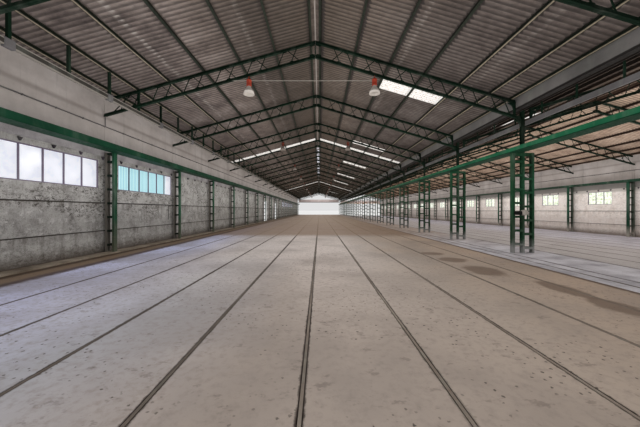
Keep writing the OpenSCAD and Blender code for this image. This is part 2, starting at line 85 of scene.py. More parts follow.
class Slope:
    """One roof slope: its ridge, the floor below, its side, how far from the ridge the trusses' upper edge,
    their lower edge and the sheets reach, and whether it ends at a wall."""

    def __init__(self, name, ridge, floor, side, end, tip, run, at_wall):
        self.name, self.ridge, self.floor, self.side = name, ridge, floor, side
        self.end, self.tip, self.run, self.at_wall = end, tip, run, at_wall
        self.fall, self.pitch = (0.278, 0.133) if at_wall else (0.300, 0.131)
        self.angle = math.atan(self.fall)

    def point(self, x, down=0.0, y=0.0):
        """The point x from the ridge and down below the trusses' upper edge."""
        return Vector((self.ridge + self.side * x, y, self.floor + RIDGE_H - self.fall * x - down))

    def purlins(self):
        """How far from the ridge the purlins lie: five at an even pitch, and two at the slope's end."""
        return [FIRST_PURLIN + self.pitch * i for i in range(5)] + [self.end - back for back in EAVES_PURLINS]


SLOPES = {
    "main_left": Slope("main_left", MAIN_X, MAIN_Z, -1, 0.753, 0.785, 0.837, True),
    "main_right": Slope("main_right", MAIN_X, MAIN_Z, 1, 0.743, 0.7655, 0.751, False),
    "side_left": Slope("side_left", SIDE_X, SIDE_Z, -1, 0.729, 0.7545, 0.776, False),
    "side_right": Slope("side_right", SIDE_X, SIDE_Z, 1, 0.738, 0.753, 0.805, True),
}
# Translucent sheets: bay, place in the bay, first row and number of rows
LIGHTS = {
    "main_left": [(6, 0.04, 0, 6), (13, 0.7, 0, 6)],
    "main_right": [(3, 0.4, 2, 2), (5, 0.53, 2, 2), (6, 0.04, 0, 6), (7, 0.41, 2, 2), (9, 0.53, 2, 2),
                   (11, 0.59, 2, 2), (13, 0.7, 0, 6), (15, 0.5, 2, 2), (17, 0.6, 2, 2), (19, 0.5, 2, 2)],
    "side_left": [(i, 0.78, 3, 2) for i in (3, 7, 11, 15, 19)],
    "side_right": [],
}


def frame_y(i):
    """The place along the hall of frame i, counted from the gable behind the camera."""
    return BAY * (i - BAYS / 2)


# Working in Blender as by hand
def only(*objects):
    """Selects these objects alone, the last one active."""
    for o in bpy.context.view_layer.objects.selected[:]:
        o.select_set(False)
    for o in objects:
        o.select_set(True)
        bpy.context.view_layer.objects.active = o


def settle(o):
    """Puts an object's place into its mesh."""
    only(o)
    bpy.ops.object.transform_apply(location=True, rotation=True, scale=True)
    return o


def apply_modifiers(o):
    only(o)
    for m in list(o.modifiers):
        bpy.ops.object.modifier_apply(modifier=m.name)
    return o


def repeat(o, count, step, merge=False):
    """Repeats an object's mesh along step, and merges the points that meet where that is asked."""
    m = o.modifiers.new("row", "ARRAY")
    m.count = count
    m.use_relative_offset = False
    m.use_constant_offset = True
    m.constant_offset_displace = step
    m.use_merge_vertices = merge
    m.merge_threshold = 1e-5
    return apply_modifiers(o)


def copy_of(o):
    new = o.copy()
    new.data = o.data.copy()
    bpy.context.scene.collection.objects.link(new)
    return new


def joined(parts):
    """Joins objects into the last one."""
    only(*parts)
    if len(parts) > 1:
        bpy.ops.object.join()
    return parts[-1]


def select(o, kind, wanted):
    """In edit mode: selects the vertices, edges or faces for which wanted(it) holds."""
    only(o)
    bpy.ops.object.mode_set(mode="EDIT")
    bpy.ops.mesh.select_mode(type=kind)
    bpy.ops.mesh.select_all(action="DESELECT")
    bpy.ops.object.mode_set(mode="OBJECT")
    for part in getattr(o.data, {"VERT": "vertices", "EDGE": "edges", "FACE": "polygons"}[kind]):
        part.select = bool(wanted(part))
    bpy.ops.object.mode_set(mode="EDIT")


def select_edges(o, wanted):
    """In edit mode: selects the edges for which wanted(one end, other end) holds."""
    select(o, "EDGE", lambda e: wanted(*(o.data.vertices[i].co for i in e.vertices)))


def block(low, high, bevel=0.0):
    """A box between two corners, its edges broken where a bevel is given."""
    low, high = Vector(low), Vector(high)
    only()
    bpy.ops.mesh.primitive_cube_add(size=1, location=(low + high) / 2, scale=high - low)
    o = settle(bpy.context.object)
    if bevel:
        bpy.ops.object.mode_set(mode="EDIT")
        bpy.ops.mesh.select_all(action="SELECT")
        bpy.ops.mesh.bevel(offset=bevel, segments=1)
        bpy.ops.object.mode_set(mode="OBJECT")
    return o


def angle_section(leg_z, leg_y, t):
    """A rolled angle of unit length along X, its heel at the origin, its legs up Z and along Y, t thick."""
    o = block((0, 0, 0), (1, t, leg_z))
    bpy.ops.object.mode_set(mode="EDIT")
    bpy.ops.mesh.select_all(action="SELECT")
    bpy.ops.mesh.bisect(plane_co=(0, 0, t), plane_no=(0, 0, 1))
    bpy.ops.object.mode_set(mode="OBJECT")
    select(o, "FACE", lambda f: f.normal.y > 0.9 and f.center.z < t)
    bpy.ops.mesh.extrude_region_move(TRANSFORM_OT_translate={"value": (0, leg_y - t, 0)})
    bpy.ops.object.mode_set(mode="OBJECT")
    return o


def bar_between(section, p, q, flip=False):
    """A copy of a unit section laid from p to q, both in a plane across the hall."""
    d = q - p
    o = copy_of(section)
    o.scale = (d.length, -1 if flip else 1, 1)
    o.rotation_euler = (0, -math.atan2(d.z, d.x), 0)
    o.location = p
    return settle(o)


def turned(rings):
    """A round piece: a circle that is extruded and scaled from ring to ring of (height, radius)."""
    only()
    z, r = rings[0]
    bpy.ops.mesh.primitive_circle_add(vertices=24, radius=r, location=(0, 0, 0), fill_type="NOTHING")
    o = bpy.context.object
    bpy.ops.object.mode_set(mode="EDIT")
    bpy.ops.mesh.select_mode(type="EDGE")
    bpy.ops.mesh.select_all(action="SELECT")
    bpy.ops.transform.translate(value=(0, 0, z))
    for (z0, r0), (z1, r1) in zip(rings, rings[1:]):
        bpy.ops.mesh.extrude_region_move(TRANSFORM_OT_translate={"value": (0, 0, z1 - z0)})
        k = r1 / r0
        bpy.ops.transform.resize(value=(k, k, 1), center_override=(0, 0, 0))
    bpy.ops.object.mode_set(mode="OBJECT")
    return o


def facing_out(o):
    """Merges points that meet, and turns the faces outwards."""
    only(o)
    bpy.ops.object.mode_set(mode="EDIT")
    bpy.ops.mesh.select_all(action="SELECT")
    bpy.ops.mesh.remove_doubles(threshold=1e-6)
    bpy.ops.mesh.normals_make_consistent(inside=False)
    bpy.ops.object.mode_set(mode="OBJECT")


def smooth(o, degrees):
    """Shades smooth over edges that turn by less than so many degrees."""
    only(o)
    bpy.ops.object.shade_smooth_by_angle(angle=math.radians(degrees))


def finished(o, name, material, replaces=()):
    """Hands a piece over: its name, finish, body, and the CAD nodes it stands for."""
    o.name = o.data.name = name
    o.data.materials.clear()
    o.data.materials.append(material)
    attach(o, "root")
    if replaces:
        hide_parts(*replaces)


# Materials
RUST = "6b4a38"
DUST = "8f948a"


def linear(code):
    """A colour written as sRGB hex, for a shader socket."""
    parts = [int(code[i:i + 2], 16) / 255 for i in (0, 2, 4)]
    return tuple(c / 12.92 if c <= 0.04045 else ((c + 0.055) / 1.055) ** 2.4 for c in parts) + (1.0,)


class Nodes:
    """A node tree, and the one way to add a node to it."""

    def __init__(self, tree):
        self.tree = tree

    def put(self, socket, value):
        """Links an output to a socket, or sets a number or an sRGB hex colour there."""
        if isinstance(value, bpy.types.NodeSocket):
            self.tree.links.new(value, socket)
        else:
            socket.default_value = linear(value) if isinstance(value, str) else value

    def add(self, kind, inputs=(), out=0, stops=(), **settings):
        """Adds a node with its settings, inputs and ramp stops, and gives one of its outputs."""
        n = self.tree.nodes.new("ShaderNode" + kind)
        for key, value in settings.items():
            setattr(n, key, value)
        for key, value in inputs.items() if isinstance(inputs, dict) else enumerate(inputs):
            self.put(n.inputs[key], value)
        for i, (place, colour) in enumerate(stops):
            e = n.color_ramp.elements[i] if i < 2 else n.color_ramp.elements.new(1.0)
            e.position = place
            e.color = linear(colour) if isinstance(colour, str) else (colour, colour, colour, 1)
        return n.outputs[out]


class Finish(Nodes):
    """A material in the making: its shader, its object coordinates, and the patterns laid by them."""

    def __init__(self, name):
        self.material = bpy.data.materials.new(name)
        self.material.use_nodes = True
        super().__init__(self.material.node_tree)
        self.shader = next(n for n in self.tree.nodes if n.type == "BSDF_PRINCIPLED")
        self.where = self.add("TexCoord", out="Object")
        self.xyz = list(self.add("SeparateXYZ", (self.where,)).node.outputs)
        self.x, self.y, self.z = self.xyz

    def grain(self, scale, detail=4.0, rough=0.55, stretch=(1, 1, 1), place=(0, 0, 0), stops=()):
        """Noise with so many features per metre, stretched and shifted, through a ramp where it has stops."""
        mapped = self.add("Mapping", {"Vector": self.where, "Scale": stretch, "Location": place})
        noise = self.add("TexNoise", {"Vector": mapped, "Scale": scale, "Detail": detail, "Roughness": rough})
        return self.add("ValToRGB", (noise,), stops=stops) if stops else noise

    def ragged(self, value, noise, size):
        """A value that a noise shifts to both sides."""
        centred = self.add("Math", (noise, 0.5), operation="SUBTRACT")
        return self.add("Math", (centred, size, value), operation="MULTIPLY_ADD")

    def near_line(self, value, centre, half, soft):
        """1 where value is within half of centre, fading to 0 over soft."""
        off = self.add("Math", (value, centre), operation="SUBTRACT")
        away = self.add("Math", (off,), operation="ABSOLUTE")
        return self.add("MapRange", (away, half, half + soft, 1.0, 0.0))

    def coated(self, under, over, *shares, blend="MIX"):
        """Lays one colour over another, as far as all the shares say together."""
        share, *others = shares
        for other in others:
            share = self.add("Math", (share, other), operation="MULTIPLY")
        return self.add("Mix", {0: share, 6: under, 7: over}, 2, data_type="RGBA", blend_type=blend)

    def shaded(self, colour, *shades):
        """Darkens a colour by one shade after the other."""
        for shade in shades:
            colour = self.coated(colour, shade, 1.0, blend="MULTIPLY")
        return colour

    def banded(self, colour, bands):
        """Changes a colour along the axes: each band has an axis, where it begins, where it is full, a colour
        and an amount."""
        noise = self.grain(60, 6, 0.7)
        for axis, begins, full, other, amount in bands:
            at = self.ragged(self.xyz[axis], noise, 1.6 * (full - begins))
            colour = self.coated(colour, other, self.add("MapRange", (at, begins, full)), amount)
        return colour

    def place_in_wave(self):
        """How far along its wave of the roof sheets a point lies, from 0 to 1."""
        waves = self.add("Math", (self.y, 1 / WAVE, WAVES / 2), operation="MULTIPLY_ADD")
        return self.add("Math", (waves,), operation="FRACT")

    def done(self, sockets, bump=()):
        """Fills the shader's sockets, with a bump of height, strength and distance."""
        if bump:
            sockets["Normal"] = self.add("Bump", dict(zip(("Height", "Strength", "Distance"), bump)))
        for name, value in sockets.items():
            self.put(self.shader.inputs[name], value)
        return self.material


def painted_steel(name, paint, lit, rough=0.5, dirt=0.45, bands=(), glow=0.0):
    """Brushed alkyd gloss on rolled steel, faded to satin: cloudy tone, dust, and rust spots of a few cm."""
    f = Finish(name)
    colour = f.coated(paint, lit, f.grain(9, 5, stops=[(0.35, 0.0), (0.7, 1.0)]))
    spots = f.grain(160, 6, 0.7)
    colour = f.coated(colour, RUST, f.add("ValToRGB", (spots,), stops=[(0.62, 0.0), (0.70, dirt)]))
    film = f.grain(30, 4, stretch=(1, 1, 0.3), stops=[(0.5, 0.0), (0.75, dirt * 0.8)])
    colour = f.banded(f.coated(colour, DUST, film), bands)
    roughness = f.add("ValToRGB", (spots,), stops=[(0.3, rough - 0.1), (0.75, rough + 0.25)])
    return f.done({"Base Color": colour, "Emission Color": colour, "Emission Strength": glow,
                   "Roughness": roughness, "Specular IOR Level": 0.08}, (spots, 0.25, 0.0006))


def purlin_material(name, s, paint, lit, edge, bands=()):
    """Purlin paint: dark, and on the outer purlins a pale bottom flange: painted highlight, patchy with dust.
    """
    f = Finish(name)
    off = f.add("Math", (f.x, s.ridge), operation="SUBTRACT")
    across = f.add("Math", (off,), operation="ABSOLUTE")
    bottom = f.add("Math", (across, -s.fall, s.floor + RIDGE_H), operation="MULTIPLY_ADD")
    low = f.near_line(f.z, bottom, 0.0006, 0.0005)
    spots = f.grain(90, 5, 0.7)
    colour = f.coated(paint, lit, f.add("ValToRGB", (spots,), stops=[(0.35, 0.0), (0.65, 1.0)]))
    colour = f.banded(colour, bands)
    # Patches of the painted highlight on the outer purlins' bottom flanges
    dusty = f.add("ValToRGB", (spots,), stops=[(0.3, 0.5), (0.6, 0.95)])
    for x in s.purlins()[4:]:
        colour = f.coated(colour, edge, low, f.near_line(across, x, 0.0014, 0.0010), dusty)
    return f.done({"Base Color": colour, "Roughness": 0.65}, (spots, 0.2, 0.0005))


def plain_concrete(name, dark, mid, pale, stains=0.5, bands=(), lines=()):
    """Cast concrete: cloudy greys by the metre, fine pores, dark water stains, and dirty joints along it."""
    f = Finish(name)
    colour = f.grain(14, 7, 0.6, stops=[(0.3, dark), (0.5, mid), (0.72, pale)])
    pores = f.grain(420, 3, 0.6)
    hollow = f.add("ValToRGB", (pores,), stops=[(0.3, 0.35), (0.5, 0.0)])
    colour = f.coated(colour, dark, hollow, blend="MULTIPLY")
    streak = f.grain(22, 5, 0.65, stretch=(1, 1, 0.12))
    colour = f.coated(colour, dark, f.add("ValToRGB", (streak,), stops=[(0.55, 0.0), (0.72, stains)]))
    colour = f.banded(colour, bands)
    filled = f.add("ValToRGB", (streak,), stops=[(0.4, 0.9), (0.6, 0.4)])
    for x in lines:
        colour = f.coated(colour, "54493f", f.near_line(f.x, x, 0.003, 0.003), filled)
    return f.done({"Base Color": colour, "Roughness": 0.9}, (pores, 0.3, 0.0008))


def floor_material(name, tones, half_width, dark, ridge_x, shift, pale_zone=None, stains=(), bands=(),
                   line=0.0026, line_end=None):
    """Worn power-floated concrete: tones from side to side, broken edges along the rails, stains, grit."""
    f = Finish(name)
    tone = f.grain(6, 9, 0.62)
    slow = f.grain(3, 5, 0.6)
    drifted_x = f.ragged(f.x, slow, 0.3)
    sideways = f.add("MapRange", (drifted_x, ridge_x - half_width, ridge_x + half_width))
    base = f.add("ValToRGB", (sideways,), stops=tones)
    if pale_zone:
        middle, half, begins, full, pale = pale_zone
        along = f.add("MapRange", (f.ragged(f.y, slow, 0.3), begins, full))
        base = f.coated(base, pale, f.near_line(drifted_x, middle, half, 0.2), along, 0.8)
    base = f.coated(base, dark, f.add("ValToRGB", (tone,), stops=[(0.38, 0.45), (0.58, 0.0)]))
    fine = f.grain(110, 7, 0.72)
    base = f.coated(base, dark, f.add("ValToRGB", (fine,), stops=[(0.30, 0.60), (0.52, 0.0)]))
    # Broken edges of concrete beside the rails hold dirt; rails are counted from far outside the hall
    first_rail = ridge_x + shift - 100.5 * RAIL_PITCH
    off = f.add("Math", (f.x, first_rail), operation="SUBTRACT")
    place = f.add("Math", (off, RAIL_PITCH), operation="MODULO")
    jagged = f.ragged(place, f.grain(75, 5, 0.75), 0.006)
    patchy = f.grain(5, 3, place=(5, 0, 0), stops=[(0.42, 0.55), (0.6, 1.0)])
    worn = [patchy, f.near_line(f.x, ridge_x + shift, RAIL_PITCH * 4.3, 0.01)]
    if line_end:
        worn.append(f.add("MapRange", (f.y, line_end, line_end + 0.04, 1.0, 0.25)))
    base = f.coated(base, "3e342e", f.near_line(jagged, RAIL_PITCH / 2, line, 0.0016), *worn)
    base = f.banded(base, bands)
    # Brown dirt that water left, each patch by its middle and its half sizes
    for x, y, half_x, half_y in stains:
        centred = f.add("Mapping", {"Vector": f.where, "Location": (-x / half_x, -y / half_y, 0),
                                    "Scale": (1 / half_x, 1 / half_y, 0)})
        away = f.add("VectorMath", (centred,), "Value", operation="LENGTH")
        away = f.add("Math", (f.grain(28, 6, 0.7), 0.9, away), operation="MULTIPLY_ADD")
        base = f.coated(base, "6e5c4f", f.add("MapRange", (away, 1.15, 1.45, 0.8, 0.0)))
    # Grit of 1 to 3 cm lies about
    crumbs = f.add("TexVoronoi", {"Vector": f.where, "Scale": 110.0}, "Distance", feature="F1")
    crumbs = f.add("Math", (f.grain(300, 3, 0.6), 0.5, crumbs), operation="MULTIPLY_ADD")
    base = f.coated(base, "483e38", f.add("ValToRGB", (crumbs,), stops=[(0.37, 1.0), (0.42, 0.0)]),
                    f.grain(9, 4, 0.6, stops=[(0.44, 0.0), (0.56, 0.95)]))
    scuffs = f.grain(70, 4, 0.7, (0.6, 1, 1), (2, 3, 0), [(0.60, 0.0), (0.66, 0.4)])
    base = f.coated(base, "5d524b", scuffs)
    roughness = f.add("ValToRGB", (tone,), stops=[(0.3, 0.5), (0.7, 0.75)])
    return f.done({"Base Color": base, "Roughness": roughness}, (fine, 0.2, 0.0005))


def sheet_material(name, slopes, dark, mid, pale, purlin_shadow, near_ridge, shades):
    """Fibre cement roof sheets: painted shade along the waves' low lines and painted light on one flank, each
    sheet its own tone, ragged painted purlin shadows on the lower side of the purlins, pale efflorescence at
    the laps."""
    f = Finish(name)
    off = f.add("Math", (f.x, slopes[0].ridge), operation="SUBTRACT")
    right = f.add("Math", (off, 0.0), operation="GREATER_THAN")
    sides = {1: right, -1: f.add("Math", (1.0, right), operation="SUBTRACT")}
    across = f.add("Math", (off,), operation="ABSOLUTE")
    wave = f.place_in_wave()
    from_first = f.add("Math", (across, FIRST_PURLIN), operation="SUBTRACT")
    row = f.add("Math", (from_first, SHEET_ROW), operation="DIVIDE")
    column = f.add("Math", (f.y, SHEET_WAVES * WAVE), operation="DIVIDE")
    row, column = (f.add("Math", (value,), operation="FLOOR") for value in (row, column))
    cell = f.add("CombineXYZ", (row, column, right))
    sheet = f.add("TexWhiteNoise", {"Vector": cell}, "Value", noise_dimensions="3D")
    tone = f.add("Math", (sheet, 0.16, f.grain(11, 8, 0.68)), operation="MULTIPLY_ADD")
    colour = f.add("ValToRGB", (tone,), stops=[(0.36, dark), (0.58, mid), (0.82, pale)])
    colour = f.coated(colour, near_ridge, f.add("ValToRGB", (across,), stops=[(0.05, 0.75), (0.45, 0.0)]))
    # Painted shade across each slope, on the side roof deepest by the valley; darker and warmer towards the
    # far end; dark streaks; on the waves painted shade and painted light
    sideways, along = f.add("MapRange", (off, -0.6, 0.6)), f.add("MapRange", (f.y, -3.6, 1.0))
    colour = f.shaded(
        colour,
        f.add("ValToRGB", (sideways,), stops=shades),
        f.add("ValToRGB", (along,), stops=[(0.0, "ffffff"), (1.0, "dccfc2")]),
        f.grain(150, 5, 0.65, stretch=(0.10, 1, 1), stops=[(0.3, 0.62), (0.62, 1.0)]),
        # Painted shade along each wave's low line, painted light on one flank
        f.add("ValToRGB", (wave,), stops=[
            (0.0, 0.42), (0.16, 0.50), (0.42, 1.0), (0.66, 0.92), (0.86, 0.46), (1.0, 0.42)]))
    # Painted purlin shadows on the sheets: teeth as long as the waves, and ragged
    teeth = f.add("ValToRGB", (wave,), stops=[(0.1, 0.0), (0.5, 1.0), (0.9, 0.0)])
    toothed = f.add("Math", (teeth, 0.005, across), operation="MULTIPLY_ADD")
    toothed = f.ragged(toothed, f.grain(70, 4, 0.7), 0.014)
    for slope, amount in zip(slopes, (0.35, 0.85)):
        for x in slope.purlins()[:6]:
            line = f.near_line(toothed, x + 0.0105, 0.0075, 0.003)
            colour = f.coated(colour, purlin_shadow, line, sides[slope.side], amount)
    # Efflorescence on the crests: each line by its distance from the ridge, its side and its amount
    marks = f.grain(55, 3, 0.6)
    crest = f.add("ValToRGB", (wave,), stops=[(0.15, 0.1), (0.45, 1.0), (0.8, 0.1)])
    for x, side, amount in ((0.511, -1, 0.9), (0.225, -1, 0.35), (0.315, 1, 0.4), (0.585, 1, 0.3)):
        spots = f.add("ValToRGB", (marks,), stops=[(0.40, 0.1 * amount), (0.56, amount)])
        line = f.near_line(across, x, 0.003, 0.007)
        colour = f.coated(colour, "b9b2aa", line, sides[side], crest, spots)
    return f.done({"Base Color": colour, "Roughness": 0.92}, (f.grain(500, 3), 0.2, 0.0005))


def translucent_sheet(name):
    """Glass-fibre polyester roof sheet: its glow is painted daylight coming through it, dimmer along the
    waves' low lines.
    """
    f = Finish(name)
    colour = f.grain(150, 5, 0.7, stops=[(0.36, "a8a19a"), (0.50, "dad7d3"), (0.68, "f2f1ef")])
    colour = f.shaded(colour, f.add("ValToRGB", (f.place_in_wave(),), stops=[
        (0.0, 0.62), (0.3, 1.0), (0.7, 1.0), (1.0, 0.62)]))
    return f.done({"Base Color": colour, "Emission Color": colour, "Emission Strength": 0.72,
                   "Roughness": 0.5})


def ridge_material(name):
    """Ridge pieces: dull fibre cement with a pale bead, and over the middle bays sooty translucent ones in
    painted glow.
    """
    f = Finish(name)
    colour = f.grain(45, 6, 0.7, stops=[(0.3, "4d433d"), (0.55, "6e635b"), (0.75, "877c74")])
    colour = f.coated(colour, "b0a79f", f.near_line(f.x, MAIN_X, 0.0012, 0.0018))
    middle_bays = f.near_line(f.y, -0.9, 1.1, 0.15)
    clear = f.grain(14, 3, 0.6, stops=[(0.45, 0.0), (0.52, 1.0)])
    bright = f.add("Math", (middle_bays, clear), operation="MULTIPLY")
    glow = f.add("Math", (bright, 0.6), operation="MULTIPLY")
    colour = f.coated(colour, "d9dbe6", bright)
    return f.done({"Base Color": colour, "Emission Color": colour, "Emission Strength": glow,
                   "Roughness": 0.85})


def wall_material(name, floor_z, dark, mid, pale, chalk, stain, grime, low_dirt, bands=()):
    """Precast wall panels: rough concrete with whitewash rests, dark runs, black specks and dirty joints."""
    f = Finish(name)
    height = f.add("Math", (f.z, floor_z), operation="SUBTRACT")
    body = f.grain(15, 9, 0.66, stops=[(0.30, dark), (0.46, mid), (0.66, pale)])
    body = f.coated(body, chalk, f.grain(34, 8, 0.72, (1, 1, 1.4), (3, 1, 0), [(0.53, 0.0), (0.62, 0.65)]))
    run = f.grain(60, 5, 0.65, stretch=(1, 1, 0.12))
    body = f.coated(body, stain, f.add("ValToRGB", (run,), stops=[(0.56, 0.0), (0.68, 0.35 * grime)]))
    # Moss and soot: ragged spots, thickest in the upper third and at the foot
    blots = f.grain(60, 9, 0.85, (1, 1, 1.6), (0, 7, 2))
    share_up = f.add("Math", (height, 2.5), operation="MULTIPLY")
    body = f.coated(
        body, "3d3832", f.add("ValToRGB", (blots,), stops=[(0.50, 0.0), (0.56, 0.95 * grime)]),
        f.grain(9, 5, 0.65, stretch=(1, 1, 2), stops=[(0.42, 0.0), (0.53, 1.0)]),
        f.add("ValToRGB", (share_up,), stops=[
            (0.0, 0.9), (0.1, 0.4), (0.28, 0.4), (0.375, 1.0), (0.8, 1.0), (0.85, 0.15)]))
    foot = f.add("Math", (blots, -0.07, height), operation="MULTIPLY_ADD")
    body = f.coated(body, "4a3e34", f.add("MapRange", (foot, -0.025, 0.012, 0.8, 0.0)))
    body = f.coated(body, stain, f.add("MapRange", (height, 0.080, 0.084, low_dirt, 0.0)))
    # Joints between the courses hold soot, and it has run down a little
    uneven = f.ragged(height, blots, 0.004)
    runs = f.add("ValToRGB", (run,), stops=[(0.42, 0.0), (0.6, 1.0)])
    for z, half in ((0.083, 0.0012), (0.185, 0.0016)):
        body = f.coated(body, "2f2924", f.near_line(uneven, z, half, 0.0012), 0.95)
        nearing = f.add("MapRange", (height, z - 0.028, z, 0.0, 0.5))
        body = f.coated(body, stain, nearing, f.add("Math", (height, z), operation="LESS_THAN"), runs)
    pores = f.grain(300, 4, 0.65)
    body = f.coated(body, stain, f.add("ValToRGB", (pores,), stops=[(0.32, 0.5), (0.48, 0.0)]))
    return f.done({"Base Color": f.banded(body, bands), "Roughness": 0.92}, (pores, 0.35, 0.001))


def plaster_material(name):
    """Limewashed render: flat pale grey-pink, faint trowel clouds, a seam, thin dark runs from the roof."""
    f = Finish(name)
    body = f.grain(8, 8, 0.64, stops=[(0.3, "a59d98"), (0.5, "b8b0ab"), (0.7, "c6bfbb")])
    body = f.coated(body, "857c76", f.near_line(f.z, MAIN_Z + 0.505, 0.002, 0.008), 0.5)
    runs = f.grain(40, 5, 0.6, stretch=(1, 1, 0.08), stops=[(0.58, 0.0), (0.74, 0.45)])
    body = f.coated(body, "716962", runs)
    return f.done({"Base Color": body, "Roughness": 0.9}, (f.grain(200, 4), 0.2, 0.0006))


def window_glass_material(name):
    """Dusty float glass that shows the daylight: nearly white, behind one window a blue ribbed sheet front,
    and on the right a pattern of pale green."""
    f = Finish(name)
    colour = f.grain(25, 5, stops=[(0.35, "cfd2dc"), (0.7, "eceef4")])
    ribs = f.add("TexWave", {"Vector": f.where, "Scale": 32.0, "Distortion": 0.6}, 1, bands_direction="Y")
    blue = f.add("ValToRGB", (ribs,), stops=[(0.2, "82bac5"), (0.6, "abd8e0"), (0.9, "cbe8ed")])
    on_left = f.add("Math", (f.x, LEFT_WALL + 0.05), operation="LESS_THAN")
    colour = f.coated(colour, blue, f.near_line(f.y, -3.745, 0.165, 0.02), on_left)
    green = f.grain(70, 5, 0.7, stops=[(0.38, "aab798"), (0.50, "e2e8d8"), (0.64, "f6f8f2")])
    colour = f.coated(colour, green, f.add("Math", (f.x, SIDE_X), operation="GREATER_THAN"))
    return f.done({"Base Color": colour, "Emission Color": colour, "Emission Strength": 0.5,
                   "Roughness": 0.08, "IOR": 1.5})
